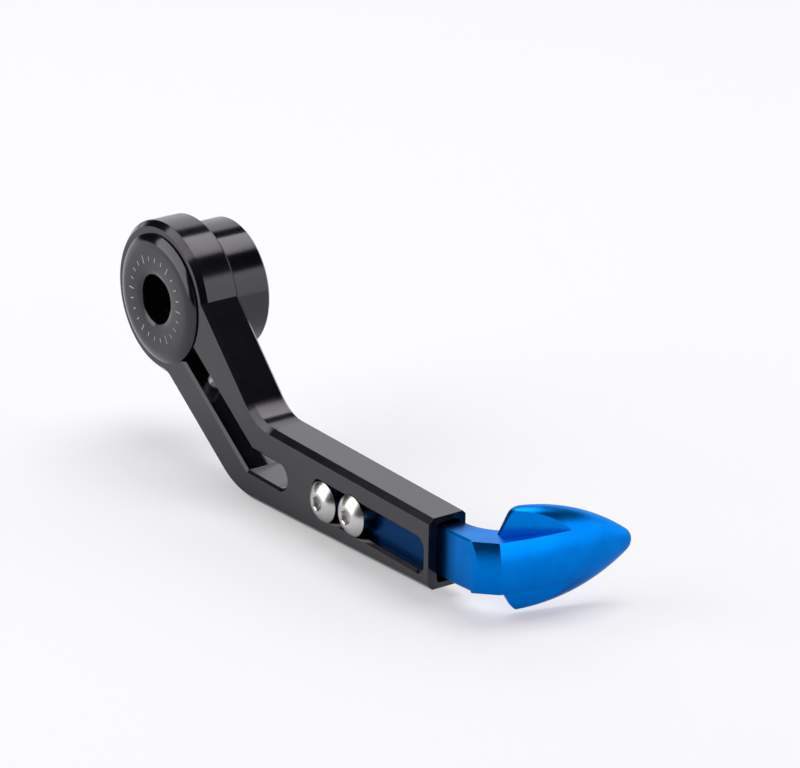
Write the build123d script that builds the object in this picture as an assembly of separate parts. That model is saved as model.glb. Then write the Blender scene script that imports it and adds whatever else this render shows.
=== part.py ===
"""Brake lever guard for the end of a motorcycle handlebar.

A machined arm is clamped by its split ring on a turned bush at the bar's end. Its hollow front section holds
the shank of a sliding tip, whose hood runs inboard in front of the lever.

Frame: Y is the bar's axis, pointing inboard, X points forward along the hollow section and Z is up. The origin
is on the bar's axis, where the bush meets the end of the bar. Lengths are in millimetres, angles in degrees.
"""

import os
from math import cos, radians, sin, tan

from build123d import *

# Hub: ring, bush and cap
ring_diameter = 36.7
ring_bore = 25.0
swivel_clearance = 0.05  # radial, ring on the bush's spigot
face_clearance = 0.1  # ring to the collar and to the cap
bush_margin = 2.85  # ring's edge beyond the bush
bush_diameter = ring_diameter - 2 * bush_margin
bush_collar = 10.3
bush_edge = 0.5
head_bore = 11.8  # lets the head of the bar's bolt in
bolt_hole = 6.6
bolt_seat = 7.4  # length of the bolt hole
cap_margin = 2.9  # ring's edge beyond the cap
cap_diameter = ring_diameter - 2 * cap_margin
cap_rim = 0.5  # height of the cap's side wall
cap_crown = 1.0  # rise of the conical band above the side wall
cap_band = 3.4  # radial width of the conical band
cap_dish = 1.2  # radial width of the shallow dish round the bore
cap_dish_depth = 0.4
cap_spigot_diameter = 17.0
cap_spigot_length = 4.0
spigot_clearance = 0.03  # radial, cap in bush

# Arm: outline seen along the bar's axis, measured from the hub's centre
arm_thickness = 10.0
front_chamfer = 1.3
back_chamfer = 0.8
upper_edge_angle = 45.0  # fall of the arm's upper edge
upper_edge_offset = 15.7
slit_angle = 34.6  # fall of the slit and of the arm's lower edge
lower_edge_offset = 13.7
box_top = -17.5
box_end = 105.6
box_end_height = 17.1
box_bottom_angle = 2.6
inner_elbow_radius = 12.0
outer_elbow_radius = 19.0
ring_blend_radius = 5.0

# Slit through the arm, from the ring's bore round the elbow
slit_width = 5.8
slit_offset = 1.9  # slit's centre line below the hub's centre
slit_level = -27.7  # centre of its level end
slit_end = 48.5  # centre of its round end
slit_chamfer = 0.6
slit_corner = 1.0

# Hollow section and its slot
front_wall = 2.45
cavity_depth = 6.1
cavity_top_wall = 1.4
cavity_bottom_wall = 1.3
cavity_corner = 1.0
cavity_start = 57.5
slot_share = 0.573  # slot's depth below the box's top, over the height of its end
slot_level = box_top - slot_share * box_end_height
slot_width = 7.5
slot_start = 62.3
slot_end = 103.2
slot_chamfer = 0.8
slot_corner = 2.0

# Tip: shank, neck and hood
shank_clearance = 0.1  # shank to the front wall
shank_thickness = 5.7
shank_play = 2.4  # height of the hollow's end over the shank's
shank_height = box_end_height - cavity_top_wall - cavity_bottom_wall - shank_play
shank_edge = 0.5
shank_drop = 0.16  # shank's middle below its screws
shank_tail = 4.4  # shank behind the rear screw
tip_tilt = 3.2  # upward set of the tip in its slot
neck_slope = 36.0  # neck's front face, from the hood's length
neck_stock = 0.1  # left on that face, then cut to its crown
neck_outer_radius = 4.8
neck_inner_radius = 12.0
hood_back = 118.8  # flat back of the hood at its widest section
hood_lean = 13.8  # hood's turn forward from the bar's axis
hood_base = 12.7  # from the arm's front face to the hood's widest section
hood_length = 30.4  # widest section to the meeting point of the ogive arcs
hood_height = 24.0
hood_flatness = 0.52  # crown of the hood over half its height
hood_rear_length = 3.2
ridge_rear_length = 5.0  # hood's middle ridge runs further back, to the neck's front face
ridge_lap = 1.5  # ridge let into the neck
hood_shoulder_radius = 3.0
hood_nose_radius = 3.2
wing_thickness = 1.7  # at the hood's widest section
wing_rise = 11.5  # rise of the wings' front faces toward the nose

# Screws that clamp the tip
tip_screw_diameter = 5.0
tip_screw_length = 7.8
tip_screw_head = 9.6
tip_screw_head_height = 1.8
tip_screw_crown = 4.8  # flat of the domed head
tip_screw_socket = 3.0
tip_screw_socket_depth = 1.4
tip_screw_pitch = 10.9
tip_screw_rear = 66.0  # place of the rear screw
thread_clearance = 0.05

# Screw that pinches the ring
pinch_diameter = 4.0
pinch_length = 18.0
pinch_head = 7.0
pinch_head_height = 4.0
pinch_socket = 3.0
pinch_socket_depth = 2.0
pinch_reach = 22.2  # along the slit from the hub's centre
pinch_depth = 5.2  # behind the arm's front face
pinch_sink = 0.4  # head below the arm's lower edge
pinch_head_clearance = 0.2
pinch_shank_clearance = 0.2
pinch_thread_spare = 0.5

# Planes across the bar's axis
arm_back = -(bush_collar + face_clearance)
arm_front = arm_back - arm_thickness
cap_back = arm_front - face_clearance
front_plane = Plane(origin=(0, arm_front, 0), x_dir=(1, 0, 0), z_dir=(0, -1, 0))

# Directions in the arm's outline: along the slit and square to it, along the upper edge and square to it
slit_along = Vector(cos(radians(slit_angle)), -sin(radians(slit_angle)))
slit_up = Vector(sin(radians(slit_angle)), cos(radians(slit_angle)))
edge_along = Vector(cos(radians(upper_edge_angle)), -sin(radians(upper_edge_angle)))
edge_up = Vector(sin(radians(upper_edge_angle)), cos(radians(upper_edge_angle)))


def meet_level(point, direction, level):
    """Point of a slanting line at a given height of the outline."""
    return point + direction * ((level - point.Y) / direction.Y)


def turned(*profile):
    """Solid turned about the bar's axis from (radius, place along the axis) corners."""
    return revolve(make_face(Polyline(*profile, close=True)), Axis.Y)


def bar_bush():
    collar_radius = bush_diameter / 2
    spigot_radius = ring_bore / 2 - swivel_clearance
    cap_seat = cap_spigot_diameter / 2 + spigot_clearance
    cap_seat_end = cap_back + cap_spigot_length + face_clearance
    return turned(
        (bolt_hole / 2, 0),
        (collar_radius - bush_edge, 0),
        (collar_radius, -bush_edge),
        (collar_radius, -bush_collar + bush_edge),
        (collar_radius - bush_edge, -bush_collar),
        (spigot_radius, -bush_collar),
        (spigot_radius, cap_back),
        (cap_seat, cap_back),
        (cap_seat, cap_seat_end),
        (head_bore / 2, cap_seat_end),
        (head_bore / 2, -bolt_seat),
        (bolt_hole / 2, -bolt_seat),
    )


def front_cap():
    radius = cap_diameter / 2
    face = cap_back - cap_rim - cap_crown
    spigot_radius = cap_spigot_diameter / 2
    return turned(
        (head_bore / 2, cap_back + cap_spigot_length),
        (spigot_radius, cap_back + cap_spigot_length),
        (spigot_radius, cap_back),
        (radius, cap_back),
        (radius, cap_back - cap_rim),
        (radius - cap_band, face),
        (head_bore / 2 + cap_dish, face),
        (head_bore / 2, face + cap_dish_depth),
    )


def arm_outline():
    """Ring and arm as one face, with the elbow's two bends and the blend at the ring."""
    upper_foot = edge_up * upper_edge_offset
    lower_foot = slit_up * -lower_edge_offset
    inner_elbow = meet_level(upper_foot, edge_along, box_top)
    end_top = Vector(box_end, box_top)
    end_bottom = Vector(box_end, box_top - box_end_height)
    # Where the arm's lower edge meets the sloping underside of the box
    fall = tan(radians(box_bottom_angle))
    gap = end_bottom.Y - (box_end - lower_foot.X) * fall - lower_foot.Y
    outer_elbow = lower_foot + slit_along * (gap / (slit_along.Y - fall * slit_along.X))
    arm = make_face(Polyline(upper_foot, inner_elbow, end_top, end_bottom, outer_elbow, lower_foot, close=True))
    ring_radius = ring_diameter / 2
    blend = lower_foot + slit_along * (ring_radius**2 - lower_edge_offset**2) ** 0.5
    outline = Circle(ring_radius) + arm
    for corner, radius in (
        (inner_elbow, inner_elbow_radius),
        (outer_elbow, outer_elbow_radius),
        (blend, ring_blend_radius),
    ):
        outline = fillet(outline.vertices().sort_by_distance(corner)[0], radius)
    return outline


def slit_outline():
    """The slit from the hub's centre to its round end past the elbow."""
    half = slit_width / 2
    upper = slit_up * (half - slit_offset)
    lower = slit_up * (-half - slit_offset)
    upper_corner = meet_level(upper, slit_along, slit_level + half)
    lower_corner = meet_level(lower, slit_along, slit_level - half)
    end_upper = Vector(slit_end, slit_level + half)
    end_lower = Vector(slit_end, slit_level - half)
    edges = [
        Polyline(lower, upper, upper_corner, end_upper),
        ThreePointArc(end_upper, Vector(slit_end + half, slit_level), end_lower),
        Polyline(end_lower, lower_corner, lower),
    ]
    face = make_face(Curve() + edges)
    return fillet(face.vertices().sort_by_distance(upper_corner)[0], slit_corner)


def pinch_line():
    """Axis of the pinch screw: from the lower edge of the arm up across the slit."""
    foot = slit_along * pinch_reach - slit_up * lower_edge_offset
    return Plane(
        origin=(foot.X, arm_front + pinch_depth, foot.Y),
        x_dir=(0, 1, 0),
        z_dir=(slit_up.X, 0, slit_up.Y),
    )


def rod(diameter, start, end):
    """Cylinder along Z between two heights."""
    return Pos(0, 0, start) * Cylinder(diameter / 2, end - start, align=(Align.CENTER, Align.CENTER, Align.MIN))


def guard_arm():
    body = extrude(front_plane * arm_outline(), -arm_thickness)
    for side, size in ((0, front_chamfer), (-1, back_chamfer)):
        face = body.faces().sort_by(Axis.Y)[side]
        rim = face.outer_wire().edges().sort_by(Axis.X)[:-1]
        body = chamfer(rim, size)

    # Ring bore and slit, with their front edges broken
    opening = Circle(ring_bore / 2) + slit_outline()
    body -= extrude(front_plane * opening, -arm_thickness)
    front = body.faces().sort_by(Axis.Y)[0]
    body = chamfer(front.inner_wires()[0].edges(), slit_chamfer)

    # Hollow of the box section, open at its end
    top = box_top - cavity_top_wall
    bottom = box_top - box_end_height + cavity_bottom_wall
    rear_bottom = bottom - (box_end - cavity_start) * tan(radians(box_bottom_angle))
    side = make_face(
        Polyline((cavity_start, top), (box_end, top), (box_end, bottom), (cavity_start, rear_bottom), close=True)
    )
    cavity = extrude(front_plane.offset(-front_wall) * side, -cavity_depth)
    long_edges = [edge for edge in cavity.edges() if edge.length > box_end - cavity_start - 0.01]
    body -= fillet(long_edges, cavity_corner)

    # Slot for the tip's screws in the front wall
    slot_length = slot_end - slot_start
    slot = Pos((slot_start + slot_end) / 2, slot_level) * RectangleRounded(slot_length, slot_width, slot_corner)
    body -= extrude(front_plane * slot, -front_wall - cavity_corner)
    front = body.faces().sort_by(Axis.Y)[0]
    slot_wire = front.inner_wires().sort_by(Axis.X)[-1]
    body = chamfer(slot_wire.edges(), slot_chamfer)

    # Stepped hole for the pinch screw
    seat = pinch_head_height + pinch_sink
    slit_floor = lower_edge_offset - slit_offset - slit_width / 2
    tip_end = seat + pinch_length + pinch_thread_spare
    holes = rod(pinch_head + 2 * pinch_head_clearance, -front_chamfer, seat)
    holes += rod(pinch_diameter + 2 * pinch_shank_clearance, seat, slit_floor)
    holes += rod(pinch_diameter + 2 * thread_clearance, slit_floor, tip_end)
    return body - pinch_line() * holes


def socket_cut(width, depth):
    """Hexagonal key socket, cut down from Z = 0."""
    hexagon = RegularPolygon(width / 2, 6, major_radius=False)
    return extrude(hexagon, -depth)


def pinch_screw():
    seat = pinch_head_height + pinch_sink
    head = rod(pinch_head, pinch_sink, seat)
    head = chamfer(head.edges().sort_by(Axis.Z)[0], pinch_sink)
    screw = head + rod(pinch_diameter, seat, seat + pinch_length)
    key = Pos(0, 0, pinch_sink + pinch_socket_depth) * socket_cut(pinch_socket, pinch_socket_depth)
    return pinch_line() * (screw - key)


def set_in_slot(shape):
    """Turns a piece of the tip to its upward set, about the middle of its two screws."""
    middle = (tip_screw_rear + tip_screw_pitch / 2, 0, slot_level)
    return shape.rotate(Axis(middle, (0, 1, 0)), -tip_tilt)


def tip_screw_places():
    """Planes of the two screw heads, facing out of the arm's front."""
    return [
        Plane(
            origin=(tip_screw_rear + step * tip_screw_pitch, arm_front, slot_level),
            x_dir=(1, 0, 0),
            z_dir=(0, -1, 0),
        )
        for step in range(2)
    ]


def tip_screws():
    """Two button head screws: domed head, key socket and plain shank."""
    half_head = tip_screw_head / 2
    half_crown = tip_screw_crown / 2
    # The dome is an arc from the head's edge to the flat of its crown, centred on the screw's axis
    dip = (half_head**2 - half_crown**2 - tip_screw_head_height**2) / (2 * tip_screw_head_height)
    dome_radius = (half_head**2 + dip**2) ** 0.5
    section = make_face(
        Curve()
        + [
            Polyline((0, tip_screw_head_height), (0, 0), (half_head, 0)),
            RadiusArc((half_head, 0), (half_crown, tip_screw_head_height), -dome_radius),
            Line((half_crown, tip_screw_head_height), (0, tip_screw_head_height)),
        ]
    )
    head = revolve(Plane.XZ * section, Axis.Z)
    screw = head + rod(tip_screw_diameter, -tip_screw_length, 0)
    screw -= Pos(0, 0, tip_screw_head_height) * socket_cut(tip_screw_socket, tip_screw_socket_depth)
    return Compound([set_in_slot(place * screw) for place in tip_screw_places()])


def hood():
    """Half of a flattened ogive trimmed to a leaf, with its front cut back above and below the middle ridge."""
    half_height = hood_height / 2
    ridge = shank_height / 2
    ridge_rear = ridge_rear_length + ridge_lap
    ogive_radius = (hood_length**2 + half_height**2) / (2 * half_height)
    nose = Vector(hood_length, 0)
    shoulders = [Vector(0, half_height), Vector(0, -half_height)]
    leaf = make_face(
        Curve()
        + [
            Polyline(
                shoulders[1],
                (-hood_rear_length, -ridge),
                (-ridge_rear, -ridge),
                (-ridge_rear, ridge),
                (-hood_rear_length, ridge),
                shoulders[0],
            ),
            RadiusArc(shoulders[0], nose, ogive_radius),
            RadiusArc(nose, shoulders[1], ogive_radius),
        ]
    )
    leaf = fillet(leaf.vertices().sort_by_distance(nose)[0], hood_nose_radius)
    span = 2 * (hood_length + hood_height)
    tail = Rectangle(ridge_rear, hood_height, align=(Align.MAX, Align.CENTER))
    section = (leaf + tail) & Rectangle(span, span, align=(Align.CENTER, Align.MIN))
    crown = scale(revolve(section, Axis.X, revolution_arc=180), by=(1, 1, hood_flatness))
    for shoulder in shoulders:
        leaf = fillet(leaf.vertices().sort_by_distance(shoulder)[0], hood_shoulder_radius)
    crown &= extrude(leaf, span)
    for side in (1, -1):
        align = (Align.CENTER, Align.MIN if side > 0 else Align.MAX, Align.MIN)
        notch = Rot(0, -wing_rise, 0) * Box(span, span, span, align=align)
        crown -= Pos(0, side * ridge, wing_thickness) * notch
    return hood_plane() * crown


def hood_plane():
    """Flat back of the hood: origin at its widest section, X along the hood, Z out of its front."""
    lean = radians(hood_lean)
    return Plane(
        origin=(hood_back, arm_front + hood_base, slot_level - shank_drop),
        x_dir=(sin(lean), cos(lean), 0),
        z_dir=(cos(lean), -sin(lean), 0),
    )


def neck_mould(crease, facing, reach):
    """Space under the neck's crowned front face, which meets the hood's crown at the crease."""
    depth = hood_flatness * hood_height / 2 * cos(radians(neck_slope))
    section = Ellipse(hood_height / 2, depth) + Rectangle(reach, reach, align=(Align.CENTER, Align.MAX))
    mould = extrude(Plane.YZ * Pos(0, -depth) * section, reach, both=True)
    return Plane(origin=crease, x_dir=facing, z_dir=facing.rotate(Axis.Z, -90)) * mould


def guard_tip():
    middle = slot_level - shank_drop
    shank_front = arm_front + front_wall + shank_clearance
    shank_back = shank_front + shank_thickness
    shank_rear = tip_screw_rear - shank_tail
    plane = hood_plane()
    base, along, outward = plane.origin, plane.x_dir, plane.z_dir
    # The neck's front face rises from the shank's front to the crease, where the hood's ridge begins
    slope = radians(neck_slope)
    facing = along * cos(slope) + outward * sin(slope)
    crease = base - along * ridge_rear_length + outward * (hood_flatness * hood_height / 2)
    outer_end = crease + outward * (neck_stock / cos(slope)) - facing * (ridge_lap / 2 / cos(slope))
    outer_corner = outer_end - facing * ((outer_end.Y - shank_front) / facing.Y)
    inner_corner = base - along * ((base.Y - shank_back) / along.Y)
    bar = make_face(
        Polyline(
            (shank_rear, shank_front, middle),
            outer_corner,
            outer_end,
            base - along * (ridge_rear_length + ridge_lap / 2) + outward * wing_thickness,
            base + along * neck_inner_radius,
            inner_corner,
            (shank_rear, shank_back, middle),
            close=True,
        )
    )
    bar = fillet(bar.vertices().sort_by_distance(outer_corner)[0], neck_outer_radius)
    bar = fillet(bar.vertices().sort_by_distance(inner_corner)[0], neck_inner_radius)
    tip = extrude(bar, shank_height / 2, dir=(0, 0, 1), both=True)

    # Long edges of the straight shank, each chamfered up to its bend
    for corner, radius, bend in (
        (outer_corner, neck_outer_radius, 90 - hood_lean - neck_slope),
        (inner_corner, neck_inner_radius, 90 - hood_lean),
    ):
        length = corner.X - radius * tan(radians(bend) / 2) - shank_rear
        wedge = Rot(45, 0, 0) * Box(
            length, shank_edge * 2**0.5, shank_edge * 2**0.5, align=(Align.MIN, Align.CENTER, Align.CENTER)
        )
        for side in (1, -1):
            tip -= Pos(shank_rear, corner.Y, middle + side * shank_height / 2) * wedge

    tip += hood()
    tip &= neck_mould(crease, facing, hood_back - shank_rear + hood_length)
    for place in tip_screw_places():
        tip -= place * rod(tip_screw_diameter + 2 * thread_clearance, -arm_thickness, 0)
    return set_in_slot(tip)


os.makedirs("parts", exist_ok=True)
for piece in (bar_bush, front_cap, guard_arm, pinch_screw, guard_tip, tip_screws):
    export_step(piece(), f"parts/{piece.__name__}.step")
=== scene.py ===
"""Looks of the brake lever guard: a black anodised swivel arm on a bar end bush, with a blue anodised tip.

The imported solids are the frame, in metres. Y is the bar's axis, pointing inboard, X points forward along
the arm's hollow section and Z is up. The origin is on the bar's axis, where the bush meets the bar's end.
"""

from math import atan2, cos, pi, radians, sin, sqrt, tan

import bpy
import bmesh
from mathutils import Matrix, Vector


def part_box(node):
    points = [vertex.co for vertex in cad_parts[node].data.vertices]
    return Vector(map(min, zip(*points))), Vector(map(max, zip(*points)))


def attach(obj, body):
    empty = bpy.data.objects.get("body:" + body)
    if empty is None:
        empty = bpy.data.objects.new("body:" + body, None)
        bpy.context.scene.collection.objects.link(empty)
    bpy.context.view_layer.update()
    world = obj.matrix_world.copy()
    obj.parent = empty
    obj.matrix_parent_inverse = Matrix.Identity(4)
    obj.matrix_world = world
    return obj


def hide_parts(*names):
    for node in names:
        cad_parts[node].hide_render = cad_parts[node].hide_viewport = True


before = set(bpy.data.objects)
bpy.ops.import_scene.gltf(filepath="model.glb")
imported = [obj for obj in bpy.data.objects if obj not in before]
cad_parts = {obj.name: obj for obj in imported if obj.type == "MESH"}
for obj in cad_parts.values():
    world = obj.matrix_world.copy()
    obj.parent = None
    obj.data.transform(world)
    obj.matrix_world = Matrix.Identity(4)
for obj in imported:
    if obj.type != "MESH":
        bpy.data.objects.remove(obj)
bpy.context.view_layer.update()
scene = bpy.context.scene
scene.view_settings.view_transform = "Standard"


# Camera
# A long lens looks down on the guard from in front of its tip. Its place and turn are those from which the
# ring, the box section and the hood fall on their places in the photograph.
camera_place = Vector((0.9021, -0.6199, 0.4204))
camera_right = Vector((0.5896, 0.8075, 0.0187))
camera_up = Vector((-0.3150, 0.2085, 0.9259))
camera_back = camera_right.cross(camera_up)
camera_data = bpy.data.cameras.new("camera")
camera_data.sensor_fit = "HORIZONTAL"
camera_data.sensor_width = 36
camera_data.lens = 225
camera = bpy.data.objects.new("camera", camera_data)
turn = Matrix((camera_right, camera_up, camera_back)).transposed()
camera.matrix_world = Matrix.Translation(camera_place) @ turn.to_4x4()
scene.collection.objects.link(camera)
scene.camera = camera


# Studio
# A white table with a bright backdrop behind it, in a dark room. One softbox hangs over the table, rolled
# to one side, and one stands on the left: they and the backdrop are what the satin metal mirrors.
class Socket:
    """A socket in a node tree. Sums, products and powers of these, also with numbers, become Math nodes."""

    def __init__(self, tree, source=None):
        self.tree = tree
        self.source = source

    def node(self, kind, settings=None, values=None, out=0):
        """Adds a node. Its settings come first, then each socket in values gets its number or link."""
        made = self.tree.nodes.new(kind)
        for name, setting in (settings or {}).items():
            setattr(made, name, setting)
        for name, value in (values or {}).items():
            if isinstance(value, Socket):
                self.tree.links.new(value.source, made.inputs[name])
            else:
                made.inputs[name].default_value = value
        return Socket(self.tree, made.outputs[out] if made.outputs else None)

    def math(self, operation, *others):
        """Math node that takes this value first."""
        return self.node("ShaderNodeMath", {"operation": operation}, dict(enumerate((self, *others))))

    def __add__(self, other):
        return self.math("ADD", other)

    __radd__ = __add__

    def __mul__(self, other):
        return self.math("MULTIPLY", other)

    __rmul__ = __mul__

    def __sub__(self, other):
        return self.math("SUBTRACT", other)

    def __rsub__(self, other):
        return self * -1 + other

    def __pow__(self, other):
        return self.math("POWER", other)

    def step(self, low, high):
        """0 below low and 1 above high, with a smooth rise between them."""
        values = {"Value": self, "From Min": low, "From Max": high}
        return self.node("ShaderNodeMapRange", {"interpolation_type": "SMOOTHSTEP"}, values)

    def blend(self, first, second):
        """Colour that goes from the first to the second as this value goes from 0 to 1."""
        ends = [end if isinstance(end, Socket) else (*end, 1) for end in (first, second)]
        return self.node("ShaderNodeMix", {"data_type": "RGBA"}, {0: self, 6: ends[0], 7: ends[1]}, out=2)

    def ray(self, kind):
        """1 for light rays of one kind, such as Camera or Glossy, and 0 for others."""
        return self.node("ShaderNodeLightPath", out=f"Is {kind} Ray")


def blank(owner):
    """Emptied node tree of a new material or world."""
    owner.use_nodes = True
    owner.node_tree.nodes.clear()
    return Socket(owner.node_tree)


# An area lamp needs 4 watts a square metre to look as bright as a surface with an emission of 1.
lamp_watts = 4
lamp_aim = Vector((0.06, 0, -0.02))


def softbox(name, azimuth, low, high, width, distance, light, roll=0):
    """Area lamp that faces the guard from an azimuth, between two elevations. Angles are in degrees."""
    data = bpy.data.lights.new(name, "AREA")
    data.shape = "RECTANGLE"
    data.size = 2 * distance * tan(radians(width / 2))
    data.size_y = 2 * distance * tan(radians((high - low) / 2))
    data.energy = lamp_watts * light * data.size * data.size_y
    lamp = bpy.data.objects.new(name, data)
    a, e = radians(azimuth), radians((low + high) / 2)
    toward = Vector((sin(a) * cos(e), cos(a) * cos(e), sin(e)))
    turned = toward.to_track_quat("Z", "Y").to_matrix().to_4x4()
    turned = turned @ Matrix.Rotation(radians(roll), 4, "Z")
    lamp.matrix_world = Matrix.Translation(lamp_aim + toward * distance) @ turned
    lamp.visible_camera = False
    scene.collection.objects.link(lamp)


softbox("softbox_over", azimuth=-14, low=55.5, high=93, width=34, distance=1.3, light=3.1, roll=-20)
softbox("softbox_front", azimuth=-153, low=-6, high=47, width=50, distance=1.5, light=2.2)

# The backdrop is a part of the world that the metal mirrors, while the camera sees plain white. It comes
# round on the right, where it is brightest, and its top slants down that way.
backdrop_top, backdrop_soft, backdrop_slant = radians(37), radians(3), 0.12
backdrop_wrap, backdrop_side = 0.4, 0.05
backdrop_low, backdrop_rise = 0.8, 0.6
backdrop_light, backdrop_lean = 1.54, 0.26
end_light, end_start, end_full = 0.8, 0.8, 0.97
backdrop_spill, room_fill = 0.97, 0.04
room_white = (0.965, 0.97, 1, 1)
world = bpy.data.worlds.new("studio")
air = blank(world)
direction = air.node("ShaderNodeTexCoord", out="Generated")
east, north, height = (air.node("ShaderNodeSeparateXYZ", values={0: direction}, out=axis) for axis in "XYZ")
top_start, top_end = sin(backdrop_top - backdrop_soft), sin(backdrop_top + backdrop_soft)
above = (height + east * backdrop_slant).step(top_start, top_end)
behind = (north + east.math("MAXIMUM", 0.0) * backdrop_wrap).step(-backdrop_side, backdrop_side)
upward = height * backdrop_rise + backdrop_low
rightward = east * backdrop_lean + east.step(end_start, end_full) * end_light + backdrop_light
backdrop = (1 - above) * behind * upward * rightward
level = air.ray("Camera") + air.ray("Transmission") + air.ray("Diffuse") * room_fill
level = level + (air.ray("Glossy") + air.ray("Diffuse") * backdrop_spill) * backdrop
light = air.node("ShaderNodeBackground", values={"Color": room_white, "Strength": level})
air.node("ShaderNodeOutputWorld", values={"Surface": light})
scene.world = world

# The table's front edge lies across the view, just below the picture, so that the arm mirrors little of it.
MM = 0.001
table_gap = 0.05 * MM
table_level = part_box("guard_arm")[0].z - table_gap
table_size, table_edge = 12.0, 0.22
table_white = (0.98, 0.965, 0.98, 1)
table_glow = 0.35
bpy.ops.mesh.primitive_grid_add(x_subdivisions=2, y_subdivisions=2, size=table_size)
table = bpy.context.object
toward_camera = Vector((camera_place.x, camera_place.y, 0)).normalized()
table.rotation_euler.z = atan2(toward_camera.y, toward_camera.x)
table.location = toward_camera * (table_edge - table_size / 2) + Vector((0, 0, table_level))
table.name = "table"
white_table = bpy.data.materials.new("white_table")
sheet = blank(white_table)
share = sheet.ray("Camera") * table_glow
matt = sheet.node("ShaderNodeBsdfDiffuse", values={"Color": table_white})
glow = sheet.node("ShaderNodeEmission", values={"Color": table_white})
lit = sheet.node("ShaderNodeMixShader", values={0: share, 1: matt, 2: glow})
sheet.node("ShaderNodeOutputMaterial", values={"Surface": lit})
table.data.materials.append(white_table)


# Bush
# The bush is turned from aluminium bar and anodised black. A bolt clamps it to the end of the handlebar,
# and the arm's ring swivels on its spigot.
cloud_scale, cloud_low, cloud_high = 0.22, 0.3, 0.7
cloud_gloss, grain_gloss, noise_middle = 0.05, 0.02, 0.5


def metal(name, colours, metallic, roughness, relief, grain, tint=(1, 1, 1), edge=0.12, fade=None):
    """Satin metal whose colour and gloss vary a little, with softened edges.

    The relief of the grain is in micrometres and the edge's radius in millimetres. A fade, if given, adds
    its own change of colour over the piece.
    """
    made = bpy.data.materials.new(name)
    skin = blank(made)
    place = skin.node("ShaderNodeTexCoord", out="Object")
    place = skin.node("ShaderNodeVectorMath", {"operation": "SCALE"}, {0: place, "Scale": 1 / MM})
    cloud = skin.node("ShaderNodeTexNoise", values={"Vector": place, "Scale": cloud_scale, "Detail": 3.0})
    colour = cloud.step(cloud_low, cloud_high).blend(*colours)
    if fade:
        colour = fade(skin, place, colour)
    height = grain(skin, place)
    soft_edge = skin.node("ShaderNodeBevel", {"samples": 4}, {"Radius": edge * MM})
    bump = skin.node(
        "ShaderNodeBump",
        values={"Strength": 1.0, "Distance": relief * MM / 1000, "Height": height, "Normal": soft_edge},
    )
    gloss = roughness + (cloud - noise_middle) * cloud_gloss + (height - noise_middle) * grain_gloss
    surface = skin.node(
        "ShaderNodeBsdfPrincipled",
        values={
            "Base Color": colour,
            "Metallic": metallic,
            "Roughness": gloss,
            "IOR": 1.6,
            "Specular Tint": (*tint, 1),
            "Normal": bump,
        },
    )
    skin.node("ShaderNodeOutputMaterial", values={"Surface": surface})
    return made


def lathe_marks(skin, place):
    """Fine rings round the bar's axis, which follow the tool's feed over faces and over sides."""
    x, y, z = (skin.node("ShaderNodeSeparateXYZ", values={0: place}, out=axis) for axis in "XYZ")
    feed = (x * x + z * z) ** 0.5 + y
    noise = {"W": feed, "Scale": 11.0, "Detail": 2.0}
    return skin.node("ShaderNodeTexNoise", {"noise_dimensions": "1D"}, noise)


def dress(node, finish):
    """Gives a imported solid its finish."""
    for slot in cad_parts[node].material_slots:
        slot.material = finish


black = ((0.0032, 0.0032, 0.0038), (0.0048, 0.0046, 0.0053))
black_turned = metal(
    "black_turned",
    black,
    metallic=0.0,
    roughness=0.13,
    relief=0.35,
    grain=lathe_marks,
    tint=(0.85, 0.815, 0.86),
)
dress("bar_bush", black_turned)


# Arm
# The arm is milled from plate, with its ring, slit, hollow end and slot, then blasted and anodised black.
# Its ring turns on the bush until the screw across the slit pinches it.
grit_share = 0.6
wave_pitch = (0.5, 0.04, 0.5)


def blasted(skin, place):
    """Even fine grain of a blasted face, over the faint waves of the cutter."""
    grit = skin.node("ShaderNodeTexNoise", values={"Vector": place, "Scale": 7.0, "Detail": 2.0})
    along = skin.node("ShaderNodeVectorMath", {"operation": "MULTIPLY"}, {0: place, 1: wave_pitch})
    waves = skin.node("ShaderNodeTexNoise", values={"Vector": along, "Scale": 1.0, "Detail": 1.0})
    return grit * grit_share + waves * (1 - grit_share)


black_blasted = metal(
    "black_blasted",
    black,
    metallic=0.0,
    roughness=0.15,
    relief=0.45,
    grain=blasted,
    tint=(0.87, 0.825, 0.92),
)
dress("guard_arm", black_blasted)


# Cap
# The cap is a turned disc with a domed band round its flat face and a dished bore that lets the bolt's head
# in. A ring of marks is lasered into its black face, so that the arm's angle can be set again.
def loft(name, rings, finish, hollow=False):
    """Closed mesh through rings of points. A hollow one goes back to its first ring, others have end caps."""
    mesh = bmesh.new()
    rows = [[mesh.verts.new(point) for point in ring] for ring in rings]
    for lower, upper in zip(rows, rows[1:] + (rows[:1] if hollow else [])):
        for i in range(len(lower)):
            j = (i + 1) % len(lower)
            mesh.faces.new((lower[i], lower[j], upper[j], upper[i]))
    if not hollow:
        mesh.faces.new(rows[0][::-1])
        mesh.faces.new(rows[-1])
    bmesh.ops.recalc_face_normals(mesh, faces=mesh.faces)
    data = bpy.data.meshes.new(name)
    mesh.to_mesh(data)
    mesh.free()
    data.materials.append(finish)
    return bpy.data.objects.new(name, data)


def turns(points):
    """Angles of points that stand evenly round a full turn."""
    return [2 * pi * i / points for i in range(points)]


def circle(radius, height, points):
    """Ring of points round the Z axis."""
    return [Vector((radius * cos(t), radius * sin(t), height)) for t in turns(points)]


def shade_smooth(piece, angle):
    """Smooth faces, with the edges sharper than an angle kept crisp."""
    scene.collection.objects.link(piece)
    bpy.context.view_layer.objects.active = piece
    for other in bpy.context.selected_objects:
        other.select_set(False)
    piece.select_set(True)
    bpy.ops.object.shade_smooth_by_angle(angle=radians(angle))
    piece.select_set(False)


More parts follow.
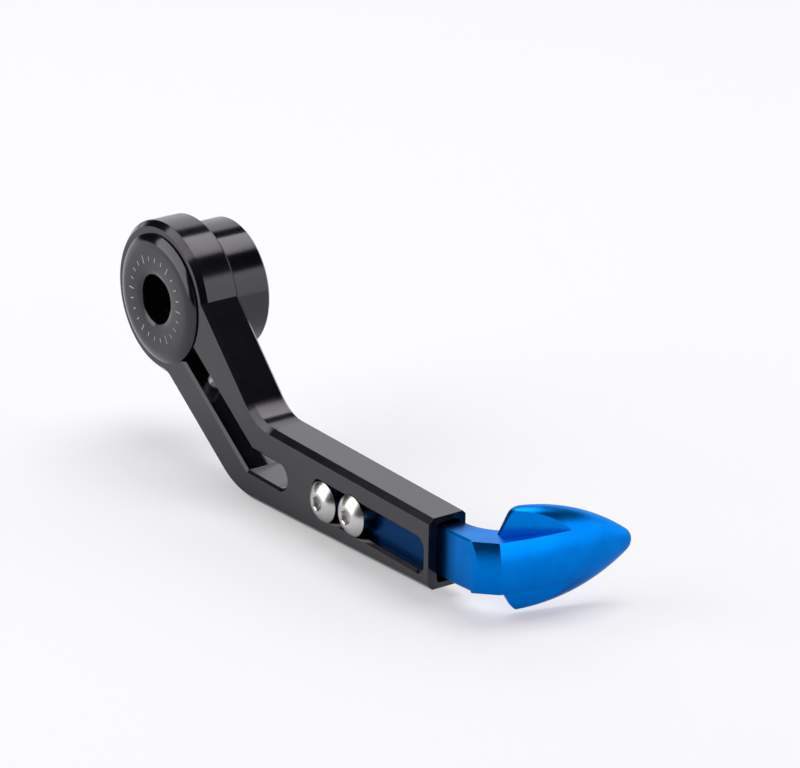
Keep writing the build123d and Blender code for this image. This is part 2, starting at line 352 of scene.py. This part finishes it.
cap_low, cap_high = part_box("front_cap")
cap_face, cap_end = -cap_low.y, -cap_high.y
rim_radius, face_radius, dish_radius, bore_radius = cap_high.x, 12.05 * MM, 7.1 * MM, 5.9 * MM
spigot_radius, spigot_length, spigot_break = 8.5 * MM, 4.0 * MM, 0.3 * MM
rim_break, dish_break, dish_depth = 0.1 * MM, 0.2 * MM, 0.4 * MM
band_rise, band_reach, band_rows = 1.25 * MM, rim_radius - face_radius, 12
band_radius = (band_reach**2 + band_rise**2) / (2 * band_rise)
cap_points, cap_crisp = 128, 25
cap_back, dish_floor = cap_end + spigot_length, cap_face - dish_depth
profile = [
    (bore_radius, cap_end),
    (spigot_radius - spigot_break, cap_end),
    (spigot_radius, cap_end + spigot_break),
    (spigot_radius, cap_back),
    (rim_radius - rim_break, cap_back),
    (rim_radius, cap_back + rim_break),
]
for i in range(band_rows + 1):
    reach = band_reach * (1 - i / band_rows)
    profile.append((face_radius + reach, cap_face - band_radius + sqrt(band_radius**2 - reach**2)))
profile += [
    (dish_radius + dish_break, cap_face),
    (dish_radius - dish_break, cap_face - rim_break),
    (bore_radius + rim_break, dish_floor),
    (bore_radius, dish_floor - dish_break),
]
cap = loft("front_cap_turned", [circle(*spot, cap_points) for spot in profile], black_turned, hollow=True)
cap.data.transform(Matrix.Rotation(pi / 2, 4, "X"))
shade_smooth(cap, cap_crisp)
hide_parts("front_cap")
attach(cap, "hub")


def sockets(tree, **kinds):
    """Adds named inputs to a Geometry Nodes tree. Gives them for the modifier and as sockets to link."""
    made = {}
    for name, kind in kinds.items():
        made[name] = tree.interface.new_socket(name, in_out="INPUT", socket_type=kind)
    tree.interface.new_socket("mesh", in_out="OUTPUT", socket_type="NodeSocketGeometry")
    source = tree.nodes.new("NodeGroupInput")
    links = {name: Socket(tree, source.outputs[name]) for name in kinds}
    return made, links


def grown(name, tree, inputs, values):
    """Plain mesh object that a Geometry Nodes tree makes from the values of its named inputs."""
    base = bpy.data.objects.new(name, bpy.data.meshes.new(name))
    scene.collection.objects.link(base)
    modifier = base.modifiers.new(name, "NODES")
    modifier.node_group = tree
    for key, value in values.items():
        modifier[inputs[key].identifier] = value
    mesh = bpy.data.meshes.new_from_object(base.evaluated_get(bpy.context.evaluated_depsgraph_get()))
    base.modifiers.clear()
    base.data = mesh
    return base


lasered = ((0.30, 0.30, 0.31), (0.42, 0.42, 0.43))
lasered_mark = metal("lasered_mark", lasered, metallic=0.0, roughness=0.5, relief=0.3, grain=blasted)
mark_count, mark_radius = 24, 9.7 * MM
mark_length, mark_width, mark_depth = 1.1 * MM, 0.28 * MM, 0.06 * MM
mark_proud = 0.2 * mark_depth
long_mark_every, long_mark_stretch = 4, 0.8
mark_tree = bpy.data.node_groups.new("cap_marks", "GeometryNodeTree")
mark_inputs, given = sockets(
    mark_tree,
    count="NodeSocketInt",
    radius="NodeSocketFloat",
    mark="NodeSocketVector",
    stretch="NodeSocketFloat",
    lift="NodeSocketVector",
    finish="NodeSocketMaterial",
)
ring = given["count"].node(
    "GeometryNodeMeshCircle",
    values={"Vertices": given["count"], "Radius": given["radius"]},
)
bar = ring.node("GeometryNodeMeshCube", values={"Size": given["mark"]})
spot = ring.node("GeometryNodeInputPosition")
facing = ring.node("FunctionNodeAlignRotationToVector", {"axis": "X"}, {"Vector": spot})
index = ring.node("GeometryNodeInputIndex")
is_long = index.math("MODULO", long_mark_every).math("LESS_THAN", 0.5)
length = is_long * given["stretch"] + 1
size = ring.node("ShaderNodeCombineXYZ", values={"X": length, "Y": 1.0, "Z": 1.0})
marks = ring.node(
    "GeometryNodeInstanceOnPoints",
    values={"Points": ring, "Instance": bar, "Rotation": facing, "Scale": size},
)
marks = ring.node("GeometryNodeRealizeInstances", values={0: marks})
marks = ring.node(
    "GeometryNodeTransform",
    values={"Geometry": marks, "Translation": given["lift"], "Rotation": (pi / 2, 0, 0)},
)
marks = ring.node("GeometryNodeSetMaterial", values={"Geometry": marks, "Material": given["finish"]})
ring.node("NodeGroupOutput", values={0: marks})
cap_marks = grown(
    "cap_marks",
    mark_tree,
    mark_inputs,
    {
        "count": mark_count,
        "radius": mark_radius,
        "mark": Vector((mark_length, mark_width, mark_depth)),
        "stretch": long_mark_stretch,
        "lift": Vector((0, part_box("front_cap")[0].y - mark_proud, 0)),
        "finish": lasered_mark,
    },
)
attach(cap_marks, "hub")


# Pinch screw
# A stainless M4 socket cap screw crosses the slit next to the ring. Its head sits in a counterbore under
# the arm and its rolled thread bites in the arm's upper half.
def hexagon(width, height, points):
    """Key socket's outline, with the ring's points spread along its six sides."""
    ring = []
    for t in turns(points):
        reach = width / 2 / cos((t + pi / 6) % (pi / 3) - pi / 6)
        ring.append(Vector((reach * cos(t), reach * sin(t), height)))
    return ring


def key_socket(width, depth, top, points):
    """Rings of a key socket: its countersunk mouth, its six walls and the cone that the drill left."""
    corner = width / 2 / cos(pi / 6)
    mouth_depth, mouth_spread = 0.06 * width, 0.018 * width
    wall_depth = 0.9 * depth
    cone_radius, cone_end = 0.45 * width, 0.05 * width
    return [
        circle(corner + mouth_spread, top, points),
        hexagon(width, top - mouth_depth, points),
        hexagon(width, top - wall_depth, points),
        circle(cone_radius, top - wall_depth, points),
        circle(cone_end, top - depth, points),
    ]


def steel_grain(skin, place):
    """Fine even grain of cold formed steel."""
    return skin.node("ShaderNodeTexNoise", values={"Vector": place, "Scale": 4.0, "Detail": 3.0})


rolled = ((0.70, 0.69, 0.68), (0.78, 0.77, 0.76))
rolled_steel = metal(
    "rolled_steel", rolled, metallic=1.0, roughness=0.37, relief=0.5, grain=steel_grain, edge=0.06
)
ring_points, screw_crisp = 48, 32
head_radius, head_height, head_sink, head_break = 3.5 * MM, 4.0 * MM, 0.4 * MM, 0.4 * MM
key_width, key_depth = 3.0 * MM, 2.0 * MM
thread_radius, thread_depth, thread_pitch, thread_length = 2.0 * MM, 0.43 * MM, 0.7 * MM, 18.0 * MM
root_radius, thread_end = thread_radius - thread_depth, thread_length - 0.1 * MM
crest_top, flank_slope, rows_per_turn = 1.3, 3.2, 10


def thread_ring(drop):
    """Ring of the thread, some way below the head: flat crests and roots with straight flanks between."""
    ring = []
    for i, t in enumerate(turns(ring_points)):
        phase = (drop / thread_pitch - i / ring_points) % 1
        crest = min(1.0, max(0.0, crest_top - flank_slope * abs(phase - 0.5)))
        reach = root_radius + min(thread_depth * crest, max(0.0, thread_end - drop))
        ring.append(Vector((reach * cos(t), reach * sin(t), -drop)))
    return ring


rows = int(thread_length / thread_pitch * rows_per_turn)
rings = [thread_ring(thread_length * i / rows) for i in range(rows, -1, -1)]
rings += [
    circle(head_radius, 0, ring_points),
    circle(head_radius, head_height - head_break, ring_points),
    circle(head_radius - head_break, head_height, ring_points),
]
rings += key_socket(key_width, key_depth, head_height, ring_points)
slit_fall = radians(34.6)
slit_along = Vector((cos(slit_fall), 0, -sin(slit_fall)))
slit_up = Vector((sin(slit_fall), 0, cos(slit_fall)))
screw_reach, lower_edge, screw_depth = 22.2 * MM, 13.7 * MM, 5.2 * MM
arm_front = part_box("guard_arm")[0].y
seat = slit_along * screw_reach - slit_up * (lower_edge - head_height - head_sink)
seat.y = arm_front + screw_depth
outward = -slit_up
sideways = Vector((0, 1, 0))
stand = Matrix((sideways, outward.cross(sideways), outward)).transposed().to_4x4()
pinch = loft("pinch_screw_threaded", rings, rolled_steel)
pinch.data.transform(Matrix.Translation(seat) @ stand)
shade_smooth(pinch, screw_crisp)
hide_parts("pinch_screw")
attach(pinch, "arm")


# Tip
# The tip is milled from one piece of aluminium and anodised blue: a flat shank that slides in the arm's
# hollow end, a neck that bends it inboard and a hood, cut back on both sides of its middle ridge.
blue = ((0.0, 0.158, 0.58), (0.0, 0.177, 0.64))
# Painted shade: the shank's darker blue stands for its shade inside the arm's hollow end, and the hood's
# darker foot is a painted reflection of the shadowed table under it.
shank_shade_blue, foot_shade_blue = (0.0, 0.03, 0.13), (0.0, 0.1, 0.4)
shank_shade_fade = (1, 8)
foot_shade_fade, foot_shade_share = (-32, -23), 0.45


def painted_shade(skin, place, colour):
    """Painted shade, darker blue on the shank up to the arm's mouth and toward the hood's foot. Fades are in
    mm.
    """
    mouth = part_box("guard_arm")[1].x / MM
    along, height = (skin.node("ShaderNodeSeparateXYZ", values={0: place}, out=axis) for axis in "XZ")
    foot = (1 - height.step(*foot_shade_fade)) * foot_shade_share
    outside = along.step(*(mouth + reach for reach in shank_shade_fade))
    return outside.blend(shank_shade_blue, foot.blend(colour, foot_shade_blue))


# The fade paints shade onto the shank and onto the hood's foot.
blue_blasted = metal(
    "blue_blasted",
    blue,
    metallic=1.0,
    roughness=0.28,
    relief=0.4,
    grain=blasted,
    tint=(0.75, 0.85, 0.85),
    fade=painted_shade,
)
dress("guard_tip", blue_blasted)


# Tip screws
# Two stainless M5 button head screws go through the slot in the arm's front wall into the shank, and hold
# the tip at the length it is set to. They stand in line with the shank, which tilts up a little.
polished = ((0.52, 0.515, 0.505), (0.60, 0.59, 0.58))
stainless = metal(
    "stainless", polished, metallic=1.0, roughness=0.27, relief=0.5, grain=steel_grain, edge=0.06
)
button_radius, button_height, button_flat = 4.8 * MM, 1.8 * MM, 2.4 * MM
button_land, button_break = 0.15 * MM, 0.1 * MM
button_key, button_key_depth = 3.0 * MM, 1.4 * MM
stem_radius, stem_length, stem_break = 2.5 * MM, 7.8 * MM, 0.4 * MM
button_points, dome_rows = 60, 10
dome_rise = button_height - button_land
dip = (button_radius**2 - button_flat**2 - dome_rise**2) / (2 * dome_rise)
dome_radius = sqrt(button_radius**2 + dip**2)
rings = [
    circle(stem_radius - stem_break, -stem_length, button_points),
    circle(stem_radius, -stem_length + stem_break, button_points),
    circle(stem_radius, 0, button_points),
    circle(button_radius - button_break, 0, button_points),
    circle(button_radius, button_break, button_points),
]
for i in range(dome_rows + 1):
    radius = button_radius + (button_flat - button_radius) * i / dome_rows
    rings.append(circle(radius, button_land + sqrt(dome_radius**2 - radius**2) - dip, button_points))
rings += key_socket(button_key, button_key_depth, button_height, button_points)
screws_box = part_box("tip_screws")
first = Vector((screws_box[0].x + button_radius, arm_front, screws_box[0].z + button_radius))
last = Vector((screws_box[1].x - button_radius, arm_front, screws_box[1].z - button_radius))
along = (last - first).normalized()
outward = Vector((0, -1, 0))
screw = loft("button_screw", rings, stainless)
screw.data.transform(Matrix((along, outward.cross(along), outward)).transposed().to_4x4())
shade_smooth(screw, screw_crisp)

screw_tree = bpy.data.node_groups.new("screw_row", "GeometryNodeTree")
screw_inputs, given = sockets(
    screw_tree,
    count="NodeSocketInt",
    first="NodeSocketVector",
    step="NodeSocketVector",
    screw="NodeSocketObject",
    finish="NodeSocketMaterial",
)
row = given["count"].node(
    "GeometryNodeMeshLine",
    values={"Count": given["count"], "Start Location": given["first"], "Offset": given["step"]},
)
pattern = row.node("GeometryNodeObjectInfo", values={"Object": given["screw"]}, out="Geometry")
placed = row.node("GeometryNodeInstanceOnPoints", values={"Points": row, "Instance": pattern})
placed = row.node("GeometryNodeRealizeInstances", values={0: placed})
placed = row.node("GeometryNodeSetMaterial", values={"Geometry": placed, "Material": given["finish"]})
row.node("NodeGroupOutput", values={0: placed})
tip_screws = grown(
    "button_screws",
    screw_tree,
    screw_inputs,
    {"count": 2, "first": first, "step": last - first, "screw": screw, "finish": stainless},
)
bpy.data.objects.remove(screw)
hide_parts("tip_screws")
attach(tip_screws, "tip")
